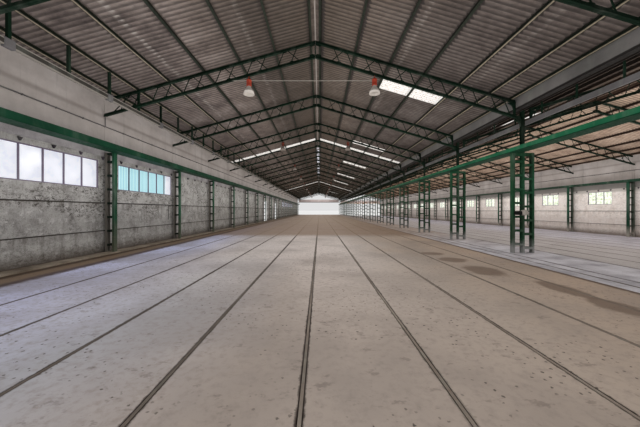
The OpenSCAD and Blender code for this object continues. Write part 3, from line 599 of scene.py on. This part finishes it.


# Steel is darker and duller further along the hall, away from the doors: dust, and painted shade of the far
# end
FAR = (1, -3.9, -1.0, "3a3c35", 0.6)
ALKYD = "alkyd green on steel, "
FINISH = {
    # Centre columns: whitewashed at the foot, and painted near black above the girder: painted shade under
    # the gutter
    "column_green": painted_steel(ALKYD + "centre columns", "16341f", "235239", dirt=0.35, bands=[
        (2, MAIN_Z + 0.050, MAIN_Z + 0.015, "a5a1a1", 0.7),
        (2, MAIN_Z + 0.373, MAIN_Z + 0.376, "121c15", 0.85), FAR]),
    # Left columns: grey-brown at the foot, near black between the uprights as painted shade on the battens,
    # the wall-side upright grey-brown
    "left_column": painted_steel(ALKYD + "left columns", "1c3e2c", "2a5c43", bands=[
        (2, MAIN_Z + 0.15, MAIN_Z, "6d6659", 0.6),
        (0, LEFT_WALL + 0.0355, LEFT_WALL + 0.0345, "1d2420", 0.9),
        (0, LEFT_WALL + 0.0175, LEFT_WALL + 0.0165, "77726b", 0.9)]),
    "right_girder": painted_steel(ALKYD + "right girder", "172f24", "234a38", bands=[FAR]),
    # Right columns: near black between the uprights and darker on the wall-side upright, both painted shade;
    # a pale foot
    "right_column": painted_steel(ALKYD + "right columns", "1a3528", "26503c", bands=[
        (0, RIGHT_WALL - 0.0445, RIGHT_WALL - 0.0435, "22271f", 0.9),
        (0, RIGHT_WALL - 0.0175, RIGHT_WALL - 0.0165, "50584e", 0.9),
        (2, SIDE_Z + 0.08, SIDE_Z + 0.02, "a39b92", 0.8)]),
    "left_girder": painted_steel(ALKYD + "left girder", "0f3021", "184530", dirt=0.12, bands=[FAR]),
    # Girders: painted dark below the face, on the lower flange: painted shade on the underside
    "girder_green": painted_steel(ALKYD + "girders", "195239", "266b4a", dirt=0.25, bands=[
        (2, MAIN_Z + 0.3735, MAIN_Z + 0.3725, "0a2b1c", 0.85), FAR]),
    "truss_green": painted_steel(ALKYD + "trusses", "0f1c14", "1a3124", dirt=0.15, bands=[
        (1, -3.0, 1.0, "2a221a", 0.6)]),
    # Rails: darker left of the middle; far on they take the floor's brown, a little paler: painted light that
    # hides the shade of their grooves
    "rail_steel": painted_steel("worn rail steel", "6f645b", "8d8176", rough=0.6, dirt=0.5, bands=[
        (0, MAIN_X + 0.05, MAIN_X - 0.15, "504944", 0.7), (1, -3.36, -3.18, "94806b", 0.9)]),
    "side_rail": painted_steel("rusty rail steel", "3f3833", "5a5049", rough=0.7),
    "bracket_steel": painted_steel("sooty bracket steel", "39353a", "5f585f", rough=0.7),
    "gable_red": painted_steel("red oxide paint", "381d19", "4d2b24"),
    "gable_ochre": painted_steel("ochre paint", "b5762f", "cc8b40", dirt=0.3),
    "fascia_sheet": painted_steel("pale pink coated sheet", "c9b8b5", "dccfcc", dirt=0.2),
    "valley_paint": painted_steel("grey paint on the valley beam", "5c5a5a", "757273", bands=[FAR]),
    "beam_paint": painted_steel("grey paint on the hanging beam", "33312e", "494641", bands=[
        (2, MAIN_Z + 0.5175, MAIN_Z + 0.5165, "a39d94", 0.75),
        (2, MAIN_Z + 0.5265, MAIN_Z + 0.5275, "a39d94", 0.75)]),
    # The gutter's lower side is painted near black: painted shadow
    "gutter_zinc": painted_steel("dull zinc", "686664", "7f7c7a", dirt=0.3, bands=[
        (2, 0.591, 0.589, "171412", 0.9)]),
    "window_paint": painted_steel("mauve-grey gloss on window bars", "756b7a", "8f8595", dirt=0.3),
    # The lamps darken towards the far end: painted shade; the bells glow a little: painted light through the
    # glass
    "lamp_red": painted_steel("red enamel", "b04030", "cf5f48", dirt=0.2, rough=0.35, bands=[
        (1, -3.9, -2.9, "4f3a32", 0.85)]),
    "lamp_glass": painted_steel("dusty clear glass bells", "958d85", "b9b2ab", dirt=0.15, rough=0.15,
                                glow=0.22, bands=[(1, -3.9, -3.1, "655c55", 0.9)]),
    "pale_cable": painted_steel("pale cable", "a39d94", "b8b2a9", dirt=0.1),
    "black_box": painted_steel("black enamel", "141414", "222222", dirt=0.1),
    "strip_concrete": plain_concrete("trowelled concrete strip", "8f8b90", "b9b5b9", "d2cfd4", bands=[
        (1, -3.9, -2.9, "9b8672", 0.7)], lines=(VALLEY_X - 0.055, VALLEY_X - 0.1, VALLEY_X + 0.102)),
    "kerb_concrete": plain_concrete("rust-stained kerb concrete", "66594d", "8d8172", "a89d8f", bands=[
        (0, LEFT_WALL + 0.014, LEFT_WALL + 0.004, "3a2d25", 0.9)]),
    "panel_concrete": plain_concrete("lintel concrete", "8a8687", "aba7a8", "c6c2c2", stains=0.35, bands=[
        (0, SIDE_X, SIDE_X + 0.3, "77726b", 0.85)]),
    "wall_plaster": plaster_material("limewashed render"),
    "roof_light": translucent_sheet("glass-fibre sheet"),
    "ridge": ridge_material("ridge pieces"),
    "window_glass": window_glass_material("dusty float glass"),
    "main_floor": floor_material(
        "main floor concrete",
        [(0.08, "d0d3f2"), (0.28, "afb0b8"), (0.46, "a5988e"), (0.75, "a99a8d"), (1.0, "b09b89")],
        0.6, "857a72", MAIN_X, 0.0, (MAIN_X - 0.12, 0.25, -4.75, -4.0, "cec3bc"),
        stains=[(-0.3035, -4.3175, 0.05, 0.075), (-0.2425, -4.4925, 0.03, 0.08),
                (-0.2455, -4.5985, 0.03, 0.06), (-0.3085, -4.1515, 0.05, 0.05),
                (-0.3200, -4.0200, 0.05, 0.04)],
        bands=[(1, -3.36, -3.18, "8a7462", 0.85), (1, -2.6, -1.0, "a3907e", 0.6),
               (0, LEFT_WALL + 0.158, LEFT_WALL + 0.140, "432a1a", 0.92),
               (0, LEFT_WALL + 0.128, LEFT_WALL + 0.112, "86715c", 0.85),
               (0, LEFT_WALL + 0.080, LEFT_WALL + 0.066, "3b2818", 0.9),
               (0, VALLEY_X - 0.160, VALLEY_X - 0.150, "4a382b", 0.9)],
        line_end=-3.235),
    "side_floor": floor_material(
        "side floor concrete", [(0.1, "a59f9c"), (0.5, "9e9897"), (0.72, "b3b0b9"), (1.0, "c5c2ce")], 0.7,
        "807a78", SIDE_X, 0.044, line=0.0045),
    "left_wall": wall_material("precast panels, left", MAIN_Z, "85827e", "a6a4a0", "bbb9b5", "d2d0cd",
                               "59524b", 1.0, 0.08),
    # Right wall: painted shade in the band above the windows, under the lintel, and darker towards the far
    # end
    "right_wall": wall_material("precast panels, right", SIDE_Z, "d2c7be", "e9dfd7", "f0e8e2", "f4efea",
                                "8d7f75", 0.3, 0.25, [(2, SIDE_Z + 0.325, SIDE_Z + 0.34, "8a847c", 0.6),
                                                      (1, -1.8, 1.5, "6f675f", 0.5)]),
    # Sheet colours: dark, mid and pale tones, the painted purlin shadow, the tone near the ridge, then the
    # painted shade across the slopes
    "main_sheets": sheet_material(
        "fibre cement, main roof", (SLOPES["main_left"], SLOPES["main_right"]),
        "6b5f5b", "93857e", "ada099", "352f2d", "857565",
        [(0.04, 0.84), (0.18, 0.97), (0.34, 0.47), (0.5, 0.58), (0.63, 0.82), (0.80, 0.55), (1.0, 0.57)]),
    "side_sheets": sheet_material(
        "fibre cement, side roof", (SLOPES["side_left"], SLOPES["side_right"]),
        "9b8370", "caaf99", "e2cab4", "4d4138", "c6ac94",
        [(0.0, 0.14), (0.1, 0.26), (0.26, 0.9), (1.0, 1.0)]),
}
# Purlin paint, a second tone of it, and the painted highlight on the outer bottom flanges
MAIN_PURLINS = ("161b14", "272f24", "9c8f7b")
SIDE_PURLINS = ("2c1e16", "402e23", "5a4738")
for s in SLOPES.values():
    paints = MAIN_PURLINS if s.name.startswith("main") else SIDE_PURLINS
    # On the side nave's left slope the purlins near the valley are painted near black: painted shade
    valley_shade = [(0, SIDE_X - 0.35, SIDE_X - 0.60, "0b0907", 0.85)] if s.name == "side_left" else []
    FINISH[s.name + "_purlins"] = purlin_material("purlin paint, " + s.name, s, *paints, valley_shade)
# The CAD nodes take the finish of their slot, apart from those that have their own
OWN = {"main_floor": "main_floor", "side_floor": "side_floor", "left_wall_panels": "left_wall",
       "right_wall_panels": "right_wall", "main_ridge_cap": "ridge", "side_ridge_cap": "side_sheets",
       "left_columns": "left_column", "right_columns": "right_column", "left_crane_girder": "left_girder",
       "right_crane_girder": "right_girder", "side_rails": "side_rail"}
for part in frame["record"]["subparts"]:
    o = nodes[part["node"]]
    finish = OWN.get(part["node"], part["material_slot"])
    o.data.materials.clear()
    o.data.materials.append(FINISH.get(finish, FINISH["bracket_steel"]))


# Roof sheets: one wave is shaped, repeated along the hall, and each row is laid over the next one
WAVE_STEPS = 6
only()
bpy.ops.mesh.primitive_grid_add(x_subdivisions=1, y_subdivisions=WAVE_STEPS, size=1,
                                location=(0.5, WAVE / 2, 0))
wave = bpy.context.object
wave.scale = (1, WAVE, 1)
settle(wave)
for j in range(WAVE_STEPS + 1):
    select(wave, "VERT", lambda v: abs(v.co.y - WAVE * j / WAVE_STEPS) < 1e-6)
    lift = (WAVE_H - 2 * SHEET_T) / 2 * (1 - math.cos(2 * math.pi * j / WAVE_STEPS))
    bpy.ops.transform.translate(value=(0, 0, lift))
    bpy.ops.object.mode_set(mode="OBJECT")
repeat(wave, WAVES, (0, WAVE, 0), merge=True)
wave.location = (0, -WAVE * WAVES / 2, 0)
settle(wave)

RIDGE_GAP = 0.0142
EDGE_GAP = 0.0006
LAP = 0.014
for s in SLOPES.values():
    cos = math.cos(s.angle)
    edges = [RIDGE_GAP] + s.purlins()[1:6] + [s.run - EDGE_GAP]
    rows, panes = [], []
    for k, (x0, x1) in enumerate(zip(edges, edges[1:])):
        u0, u1 = x0 / cos, x1 / cos + (LAP if k < 5 else 0)
        row = copy_of(wave)
        pieces = [row]
        spans = [frame_y(bay) + place * BAY for bay, place, first, count in LIGHTS[s.name]
                 if first <= k < first + count]
        if spans:
            half = WAVE * SHEET_WAVES / 2
            select(row, "FACE", lambda f: any(abs(f.center.y - y) < half for y in spans))
            bpy.ops.mesh.separate(type="SELECTED")
            bpy.ops.object.mode_set(mode="OBJECT")
            pieces += [o for o in bpy.context.selected_objects if o != row]
            panes.append(pieces[-1])
        for o in pieces:
            # A row starts under the row above it and ends over the one below
            o.scale = (s.side * (u1 - u0), 1, 1)
            o.rotation_euler = (0, s.side * (s.angle - SHEET_T * 1.6 / (u1 - u0)), 0)
            start = s.point(0) + Vector((s.side * u0 * cos, 0, -u0 * math.sin(s.angle)))
            up = Vector((s.side * math.sin(s.angle), 0, cos))
            o.location = start + up * (PURLIN_H + SHEET_T * 0.2)
            settle(o)
        rows.append(row)
    nave = s.name.split("_")[0]
    lights = {"main_right": ["main_roof_lights"], "side_left": ["side_roof_lights"]}.get(s.name, [])
    for name, parts, slot, finish, stands in (
            (s.name + "_sheets", rows, "roof_sheet", nave + "_sheets", [s.name.replace("_", "_roof_")]),
            (s.name + "_light_sheets", panes, "roof_light", "roof_light", lights)):
        if not parts:
            continue
        o = joined(parts)
        m = o.modifiers.new("thickness", "SOLIDIFY")
        m.thickness = SHEET_T
        m.offset = 0
        apply_modifiers(o)
        facing_out(o)
        smooth(o, 50)
        finished(o, name, FINISH[finish], stands)
bpy.data.objects.remove(wave)


# Trusses: double-angle chords, single-angle web bars, posts and gusset plates
CHORD_LEG = 0.0048
CHORD_T = 0.0012
WEB_H = 0.0026
WEB_LEG = 0.0022
WEB_T = 0.0008
WEB_PITCH = 0.117
WEB_SHIFT = 0.003
WEB_JOINTS = 6
# The web bars of a joint: where each meets the upper and the lower chord, and how far it stands aside
WEB_BARS = ((0.0, 0.026, 0.0008), (-0.048, -0.022, 0.0008), (-0.004, -0.055, -0.0030))
LOWER_JOINT = -0.026
GUSSET_T = 0.0006
KNEE_T = 0.006
POST_D = 0.008
END_GAP = 0.0006
chord_angle = angle_section(CHORD_H, CHORD_LEG, CHORD_T)
web_angle = angle_section(WEB_H, WEB_LEG, WEB_T)


def chord(s, x0, x1, down):
    """Two angles back to back from x0 to x1, a gusset's thickness apart, their lower edges at depth down."""
    p, q = s.point(x0, down), s.point(x1, down)
    if s.side < 0:
        p, q = q, p
    parts = []
    for flip in (False, True):
        o = bar_between(chord_angle, p, q, flip=flip)
        o.location = (0, -GUSSET_T / 2 if flip else GUSSET_T / 2, 0)
        parts.append(settle(o))
    return parts


def web_bar(s, x_top, x_low, y):
    """An angle from the upper chord at x_top to the lower one at x_low."""
    top = s.point(x_top, CHORD_H * 0.4)
    low = s.point(x_low, TRUSS_H - CHORD_H * 0.4)
    if top.x < low.x:
        top, low = low, top
    o = bar_between(web_angle, low, top)
    o.location = (0, y, 0)
    return settle(o)


def gusset(s, x, down, w, h):
    """A plate between the angles, its corners cut."""
    o = block((-w / 2, -GUSSET_T / 2, -h / 2), (w / 2, GUSSET_T / 2, h / 2))
    select_edges(o, lambda a, b: abs(a.y - b.y) > GUSSET_T / 2)
    bpy.ops.mesh.bevel(offset=h * 0.25, segments=1)
    bpy.ops.object.mode_set(mode="OBJECT")
    o.rotation_euler = (0, s.side * s.angle, 0)
    o.location = s.point(x, down)
    return settle(o)


def haunch(s, x, down, reach):
    """A knee plate in the corner below a chord, on the ridge's side of x, its free edge a hollow curve."""
    out = -s.side * reach
    o = block((min(0, out), -KNEE_T / 2, -reach), (max(0, out), KNEE_T / 2, 0))
    select_edges(o, lambda a, b: abs(a.y - b.y) > KNEE_T / 2 and abs(a.x - out) < 1e-5 and a.z < -1e-5)
    bpy.ops.mesh.bevel(offset=reach * 0.86, segments=5, profile=0.1)
    bpy.ops.object.mode_set(mode="OBJECT")
    o.location = s.point(x, down)
    return settle(o)


def upright(s, x, trim, w, bevel):
    """A post between the chords at x, trim short of their outer edges."""
    top, low = s.point(x, trim), s.point(x, TRUSS_H - trim)
    return block((low.x - w / 2, -POST_D / 2, low.z), (low.x + w / 2, POST_D / 2, top.z), bevel)


for s in SLOPES.values():
    parts = chord(s, END_GAP, s.end, CHORD_H) + chord(s, END_GAP, s.tip, TRUSS_H)
    for i in range(1, WEB_JOINTS + 1):
        u = i * WEB_PITCH - WEB_SHIFT
        parts += [web_bar(s, u + top, u + low, y) for top, low, y in WEB_BARS]
        parts.append(gusset(s, u, CHORD_H * 0.9, 0.016, 0.010))
        parts.append(gusset(s, u + LOWER_JOINT, TRUSS_H - CHORD_H * 0.9, 0.016, 0.010))
    if s.at_wall:
        parts.append(web_bar(s, s.end - 0.075, s.end + 0.003, 0.0008))
    else:
        parts.append(upright(s, s.end - 0.003, CHORD_H / 2, 0.006, 0.0005))
        parts.append(haunch(s, s.end - 0.005, CHORD_H, 0.021))
        parts.append(haunch(s, s.tip, TRUSS_H - 0.001, 0.025))
    parts.append(upright(s, 0.0016, 0.0005, 0.0028, 0.0004))
    parts += [gusset(s, 0.012, down, 0.020, 0.014) for down in (CHORD_H, TRUSS_H - CHORD_H)]
    o = joined(parts)
    o.location = (0, frame_y(0), 0)
    settle(o)
    repeat(o, BAYS + 1, (0, BAY, 0))
    finished(o, s.name + "_truss_row", FINISH["truss_green"],
             [s.name.replace("_", "_trusses_")])
bpy.data.objects.remove(chord_angle)
bpy.data.objects.remove(web_angle)


# Purlins: lipped channels, open to the ridge, and one more beside the valley in the side nave
PURLIN_T = 0.0008
PURLIN_LIP = 0.0018
VALLEY_PURLIN = 0.758
section = block((PURLIN_W / 2 - PURLIN_T, 0, 0), (PURLIN_W / 2, LENGTH, PURLIN_H))
bpy.ops.object.mode_set(mode="EDIT")
for z in (PURLIN_T, PURLIN_H - PURLIN_T):
    bpy.ops.mesh.select_all(action="SELECT")
    bpy.ops.mesh.bisect(plane_co=(0, 0, z), plane_no=(0, 0, 1))
bpy.ops.object.mode_set(mode="OBJECT")
select(section, "FACE",
       lambda f: f.normal.x < -0.9 and abs(f.center.z - PURLIN_H / 2) > PURLIN_H / 2 - PURLIN_T)
bpy.ops.mesh.extrude_region_move(TRANSFORM_OT_translate={"value": (2 * PURLIN_T - PURLIN_W, 0, 0)})
bpy.ops.mesh.extrude_region_move(TRANSFORM_OT_translate={"value": (-PURLIN_T, 0, 0)})
bpy.ops.object.mode_set(mode="OBJECT")


def inner_end(f, up):
    """Whether a face is the inner one at a flange's free end, where a lip begins."""
    outwards = (f.center.z - PURLIN_H / 2) * up
    at_end = f.center.x < PURLIN_T - PURLIN_W / 2
    return at_end and f.normal.z * up > 0.9 and PURLIN_T / 2 - PURLIN_H / 2 < outwards < 0


for up in (1, -1):
    select(section, "FACE", lambda f: inner_end(f, up))
    bpy.ops.mesh.extrude_region_move(TRANSFORM_OT_translate={"value": (0, 0, up * PURLIN_LIP)})
    bpy.ops.object.mode_set(mode="OBJECT")
for s in SLOPES.values():
    parts = []
    for x in s.purlins() + ([VALLEY_PURLIN] if s.name == "side_left" else []):
        o = copy_of(section)
        o.scale = (s.side, 1, 1)
        o.rotation_euler = (0, s.side * s.angle, 0)
        o.location = s.point(x, y=-LENGTH / 2)
        parts.append(settle(o))
    o = joined(parts)
    facing_out(o)
    finished(o, s.name + "_purlin_row", FINISH[s.name + "_purlins"],
             [s.name.replace("_", "_purlins_")])
bpy.data.objects.remove(section)


# Pendant lamps: red gear housings over ribbed glass bells, at every second frame
LAMP_DROP = 0.0734
housing = turned([(0.0365, 0.0060), (0.0385, 0.0094), (0.0395, 0.0096), (0.0400, 0.0093), (0.0590, 0.0093),
                  (0.0595, 0.0097), (0.0602, 0.0092), (0.0650, 0.0055), (0.0655, 0.0012), (0.0740, 0.0012),
                  (0.0740, 0.0001)])
bell = turned([(0.0062, 0.0200), (0.0060, 0.0194), (0.0150, 0.0172), (0.0230, 0.0130), (0.0300, 0.0075),
               (0.0370, 0.0058), (0.0372, 0.0066), (0.0310, 0.0085), (0.0240, 0.0142), (0.0155, 0.0184),
               (0.0068, 0.0204), (0.0062, 0.0200)])
for o, name, finish, slot in ((housing, "lamp_housings", "lamp_red", "lamp_red"),
                              (bell, "lamp_bells", "lamp_glass", "window_glass")):
    parts = []
    for side, x in (("main_left", 0.247), ("main_right", 0.220)):
        one = copy_of(o)
        p = SLOPES[side].point(x, TRUSS_H + LAMP_DROP)
        one.location = (p.x, frame_y(1), p.z)
        settle(one)
        parts.append(repeat(one, BAYS // 2, (0, 2 * BAY, 0)))
    bpy.data.objects.remove(o)
    both = joined(parts)
    facing_out(both)
    smooth(both, 50)
    finished(both, name, FINISH[finish], ["lamps"])


# Small steel on the walls: a pointed bracket below the lintel about every metre
BRACKETS = 112
BRACKET_PITCH = 0.0983
BRACKET_START = -4.305 - 12 * BRACKET_PITCH
rows = []
for wall, side, z in ((LEFT_WALL, 1, MAIN_Z), (RIGHT_WALL, -1, SIDE_Z)):
    face = wall + side * 0.005
    one = block((min(wall, face), -0.006, z + 0.344), (max(wall, face), 0.006, z + 0.354))
    select(one, "FACE", lambda f: f.normal.z < -0.9)
    bpy.ops.transform.resize(value=(1, 0.12, 1))
    bpy.ops.object.mode_set(mode="OBJECT")
    one.location = (0, BRACKET_START, 0)
    settle(one)
    rows.append(repeat(one, BRACKETS, (0, BRACKET_PITCH, 0)))
brackets = joined(rows)
facing_out(brackets)
finished(brackets, "wall_brackets", FINISH["bracket_steel"])


def rod(p, q, r, sides=8):
    """A round bar from p to q."""
    p, q = Vector(p), Vector(q)
    only()
    bpy.ops.mesh.primitive_cylinder_add(vertices=sides, radius=r, depth=(q - p).length, location=(p + q) / 2,
                                        rotation=(q - p).to_track_quat("Z", "Y").to_euler())
    return settle(bpy.context.object)


# Cables by the fourth frame: a drop from the truss's tip, one on the lower wall, a wire between two lamps
CABLE_Y = frame_y(3)
tip = SLOPES["main_left"].point(0.781, TRUSS_H)
wire_z = MAIN_Z + 0.640
low_x = LEFT_WALL + 0.002
low_y = -3.5485
low_z = MAIN_Z + 0.1865
cables = joined([
    rod((tip.x, CABLE_Y, tip.z), (tip.x, CABLE_Y, MAIN_Z + 0.470), 0.0012),
    rod((low_x, -3.93, low_z), (low_x, low_y, low_z), 0.0014),
    rod((low_x, low_y, low_z + 0.0015), (low_x, low_y, MAIN_Z + 0.109), 0.0014)])
facing_out(cables)
smooth(cables, 50)
finished(cables, "loose_cables", FINISH["valley_paint"])

wire = rod((MAIN_X - 0.3545, CABLE_Y, wire_z), (MAIN_X + 0.2135, CABLE_Y, wire_z), 0.0011)
smooth(wire, 50)
finished(wire, "lamp_wire", FINISH["pale_cable"])

# Clamp plates round the hanging beam at every second post
CLAMPS = 36
CLAMP_PITCH = 0.3028
clamp = block((MAIN_X - 0.6695, -0.012, MAIN_Z + 0.511), (MAIN_X - 0.6585, 0.012, MAIN_Z + 0.532), 0.0015)
clamp.location = (0, -5.352, 0)
settle(clamp)
repeat(clamp, CLAMPS, (0, CLAMP_PITCH, 0))
finished(clamp, "beam_clamps", FINISH["valley_paint"])

# A switch box with a floodlight on a centre column
box_y = (CABLE_Y - 0.022, CABLE_Y - 0.0085)
box = block((-0.0145, box_y[0], 0.194), (0.0075, box_y[1], 0.208), 0.0012)
finished(box, "switch_box", FINISH["black_box"])
flood = rod((0.0185, box_y[0], 0.2025), (0.0185, box_y[1], 0.2025), 0.0105, 24)
select(flood, "FACE", lambda f: f.normal.y < -0.9)
bpy.ops.mesh.inset(thickness=0.0015)
bpy.ops.mesh.extrude_region_move(TRANSFORM_OT_translate={"value": (0, 0.002, 0)})
bpy.ops.object.mode_set(mode="OBJECT")
smooth(flood, 40)
# The floodlight's glass takes the bells' finish, with its painted glow
finished(flood, "floodlight", FINISH["lamp_glass"])

# Cable pipes along both walls, with a clip every metre
PIPE_R = 0.0018
CLIPS = 109
CLIP_PITCH = 0.1
pipes = []
for x, z in ((LEFT_WALL + 0.0035, MAIN_Z + 0.469), (RIGHT_WALL - 0.0035, SIDE_Z + 0.480)):
    only()
    bpy.ops.mesh.primitive_cylinder_add(vertices=10, radius=PIPE_R, depth=LENGTH - 0.04, location=(x, 0, z),
                                        rotation=(math.pi / 2, 0, 0))
    pipes.append(settle(bpy.context.object))
    clip = block((x - 0.0035, -0.001, z - 0.0024), (x + 0.0022, 0.001, z + 0.0024), 0.0003)
    clip.location = (0, -5.4, 0)
    settle(clip)
    pipes.append(repeat(clip, CLIPS, (0, CLIP_PITCH, 0)))
pipe_rows = joined(pipes)
facing_out(pipe_rows)
smooth(pipe_rows, 35)
finished(pipe_rows, "cable_pipes", FINISH["valley_paint"])


# Stage: a plain pale floor below the model
only()
bpy.ops.mesh.primitive_plane_add(size=400, location=(0, 0, -0.0005))
ground = bpy.context.object
ground.name = "ground"
pale = Finish("stage")
white = pale.add("Emission", ((1, 1, 1, 1), 0.25))
output = next(n for n in pale.tree.nodes if n.type == "OUTPUT_MATERIAL")
pale.put(output.inputs[0], pale.add("AddShader", (pale.shader.outputs[0], white)))
ground.data.materials.append(pale.done({"Base Color": "dddddb", "Roughness": 0.9}))

# Light: an even white sky, and soft lamps along both naves
world = bpy.data.worlds.new("sky")
bpy.context.scene.world = world
world.use_nodes = True
sky = Nodes(world.node_tree)
back = next(n for n in sky.tree.nodes if n.type == "BACKGROUND")
rays = sky.add("LightPath").node.outputs
seen = sky.add("Math", (rays["Is Camera Ray"], rays["Is Glossy Ray"]), operation="MAXIMUM")
seen = sky.add("Math", (seen, rays["Is Transmission Ray"]), operation="MAXIMUM")
sky.put(back.inputs["Color"], (1, 1, 1, 1))
sky.put(back.inputs["Strength"], sky.add("MapRange", (seen, 0.0, 1.0, 0.8, 0.74)))


def lamp(name, place, size, power, down=True):
    """A long soft lamp that the camera doesn't see."""
    data = bpy.data.lights.new(name, "AREA")
    data.shape = "RECTANGLE"
    data.size, data.size_y = size
    data.energy = power
    o = bpy.data.objects.new(name, data)
    o.location = place
    o.rotation_euler = (0 if down else math.pi, 0, 0)
    o.visible_camera = False
    o.visible_glossy = False
    bpy.context.scene.collection.objects.link(o)


lamp("main_down", (MAIN_X, 0, MAIN_Z + 0.60), (0.9, 10.8), 40.0)
lamp("main_up", (MAIN_X, 0, MAIN_Z + 0.12), (1.2, 10.8), 42.0, down=False)
lamp("side_down", (SIDE_X, 0, SIDE_Z + 0.58), (0.9, 10.8), 41.0)
lamp("side_up", (SIDE_X, 0, SIDE_Z + 0.12), (1.2, 10.8), 50.0, down=False)

# Camera: at a standing eye's height, looking level along the hall, its focal length in the photo's pixels
PHOTO_W = 640
FOCAL_PX = 288.6
SENSOR = 36.0
EYE_H = 0.158
cam = bpy.data.cameras.new("camera")
eye = bpy.data.objects.new("camera", cam)
bpy.context.scene.collection.objects.link(eye)
eye.location = (MAIN_X + 0.015, -5.0735, MAIN_Z + EYE_H)
eye.rotation_euler = (math.pi / 2, 0, 0)
cam.sensor_width = SENSOR
cam.lens = FOCAL_PX / PHOTO_W * SENSOR
cam.shift_x = 0.0009
cam.shift_y = -0.005
cam.clip_start, cam.clip_end = 0.01, 200
bpy.context.scene.camera = eye
bpy.context.scene.view_settings.view_transform = "Standard"
